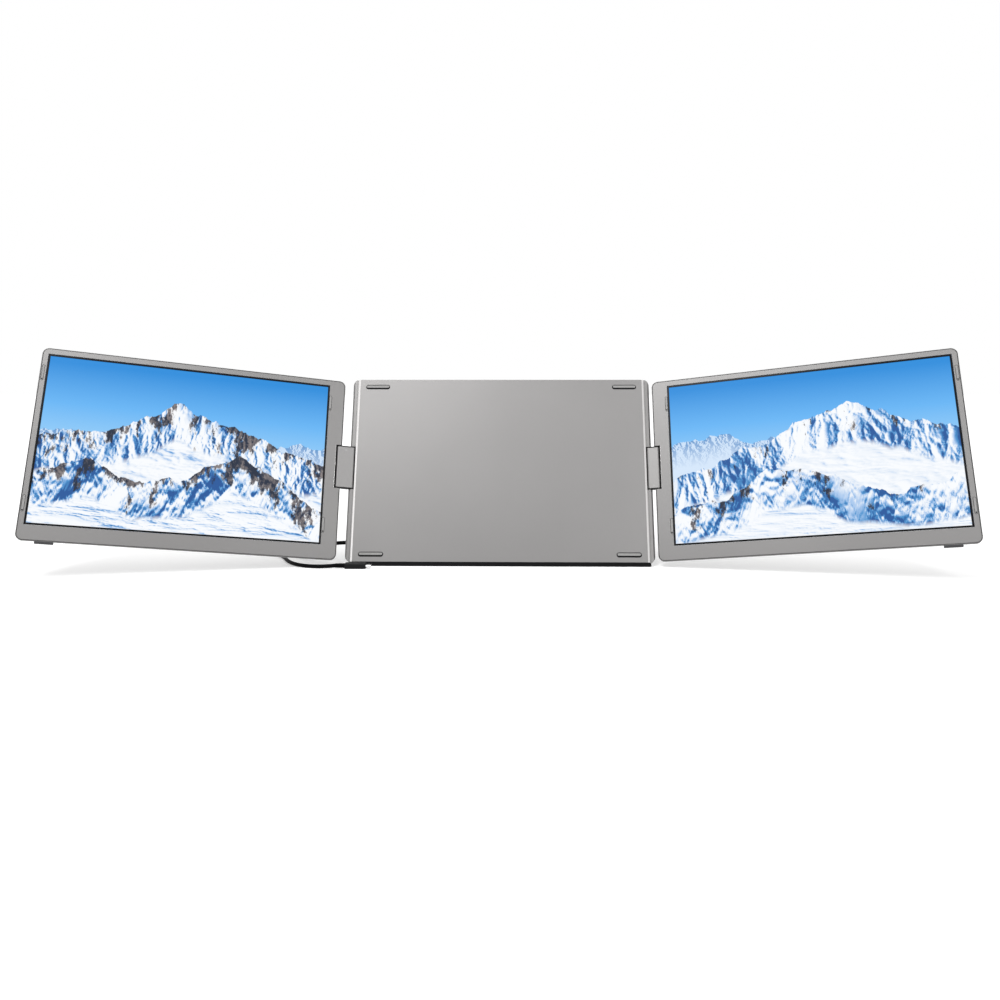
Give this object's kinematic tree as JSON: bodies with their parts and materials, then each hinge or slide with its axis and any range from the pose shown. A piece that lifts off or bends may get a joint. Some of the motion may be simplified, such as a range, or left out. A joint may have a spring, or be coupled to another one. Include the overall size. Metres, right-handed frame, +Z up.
{
  "type": "laptop screen extender",
  "caption": "Plate with a kickstand that stands behind a laptop and carries a thin hinged display at each side, with a short USB-C lead.",
  "frame": {"origin": "middle of the plate's rubber foot strip, on the table", "axes": "+X to the right as the user sees it, +Y away from the user, +Z up"},
  "size_m": [1.1123, 0.245, 0.2715],
  "materials": {
    "frame_metal": "satin, fine bead-blasted, anodised grey",
    "shell_metal": "satin, fine bead-blasted, anodised grey",
    "steel": "plain",
    "screw_steel": "dark plated",
    "black_rubber": "matt",
    "grey_rubber": "matt silicone",
    "black_plastic": "fine matt",
    "border_film": "black, smooth",
    "display": "lit picture behind a matt film",
    "diffuser": "white, matt",
    "circuit_board": "green solder mask"
  },
  "bodies": {
    "root": {"front_panel": "frame_metal", "rear_shell": "shell_metal", "stiffener": "steel", "foot_strip": "black_rubber", "front_pads": "grey_rubber", "shell_screws": "screw_steel", "hub_board": "circuit_board", "hub_ports": "steel", "left_plate_pin": "steel", "right_plate_pin": "steel", "stand_pins": "steel", "hub_plug_tip": "steel", "hub_plug_grip": "black_plastic", "hub_sleeve": "black_rubber", "lead": "black_rubber", "laptop_sleeve": "black_rubber", "laptop_plug_grip": "black_plastic", "laptop_plug_tip": "steel"},
    "kickstand": {"kickstand_panel": "shell_metal", "kickstand_foot": "black_rubber"},
    "left_hinge_link": {"left_hinge_block": "frame_metal", "left_hinge_washers": "black_plastic", "left_grub_screw": "screw_steel"},
    "left_screen": {"left_frame": "frame_metal", "left_border": "border_film", "left_lcd": "display", "left_backlight": "diffuser", "left_driver_board": "circuit_board", "left_rear_cover": "shell_metal", "left_foot_pad": "black_rubber", "left_bumpers": "grey_rubber", "left_cover_screws": "screw_steel", "left_screen_pin": "steel"},
    "left_power_button": {"left_power_button": "black_plastic"},
    "left_menu_button": {"left_menu_button": "black_plastic"},
    "right_hinge_link": {"right_hinge_block": "frame_metal", "right_hinge_washers": "black_plastic", "right_grub_screw": "screw_steel"},
    "right_screen": {"right_frame": "frame_metal", "right_border": "border_film", "right_lcd": "display", "right_backlight": "diffuser", "right_driver_board": "circuit_board", "right_rear_cover": "shell_metal", "right_foot_pad": "black_rubber", "right_bumpers": "grey_rubber", "right_cover_screws": "screw_steel", "right_screen_pin": "steel"},
    "right_power_button": {"right_power_button": "black_plastic"},
    "right_menu_button": {"right_menu_button": "black_plastic"}
  },
  "joints": [
    {"name": "kickstand_hinge", "type": "hinge", "parent": "root", "child": "kickstand", "pos_m": [0, 0.08102, 0.17398], "axis": [1, 0, 0], "range_deg": [-40, 0]},
    {"name": "left_plate_hinge", "type": "hinge", "parent": "root", "child": "left_hinge_link", "pos_m": [-0.1925, 0.04624, 0.11957], "axis": [0, 0.3843, 0.9232], "range_deg": [-17, 73]},
    {"name": "left_screen_hinge", "type": "hinge", "parent": "left_hinge_link", "child": "left_screen", "pos_m": [-0.20991, 0.04132, 0.12162], "axis": [0, 0.3843, 0.9232], "range_deg": [0, 90]},
    {"name": "left_power_press", "type": "slide", "parent": "left_screen", "child": "left_power_button", "axis": [0.2924, -0.8829, 0.3675], "range_m": [0, 0.0004], "stiffness_N_per_m": 500, "springref_m": -0.0006},
    {"name": "left_menu_press", "type": "slide", "parent": "left_screen", "child": "left_menu_button", "axis": [0.2924, -0.8829, 0.3675], "range_m": [0, 0.0004], "stiffness_N_per_m": 500, "springref_m": -0.0006},
    {"name": "right_plate_hinge", "type": "hinge", "parent": "root", "child": "right_hinge_link", "pos_m": [0.1925, 0.04624, 0.11957], "axis": [0, -0.3843, -0.9232], "range_deg": [-17, 73]},
    {"name": "right_screen_hinge", "type": "hinge", "parent": "right_hinge_link", "child": "right_screen", "pos_m": [0.20321, 0.04321, 0.12083], "axis": [0, -0.3843, -0.9232], "range_deg": [0, 90]},
    {"name": "right_power_press", "type": "slide", "parent": "right_screen", "child": "right_power_button", "axis": [-0.2924, -0.8829, 0.3675], "range_m": [0, 0.0004], "stiffness_N_per_m": 500, "springref_m": -0.0006},
    {"name": "right_menu_press", "type": "slide", "parent": "right_screen", "child": "right_menu_button", "axis": [-0.2924, -0.8829, 0.3675], "range_m": [0, 0.0004], "stiffness_N_per_m": 500, "springref_m": -0.0006}
  ]
}
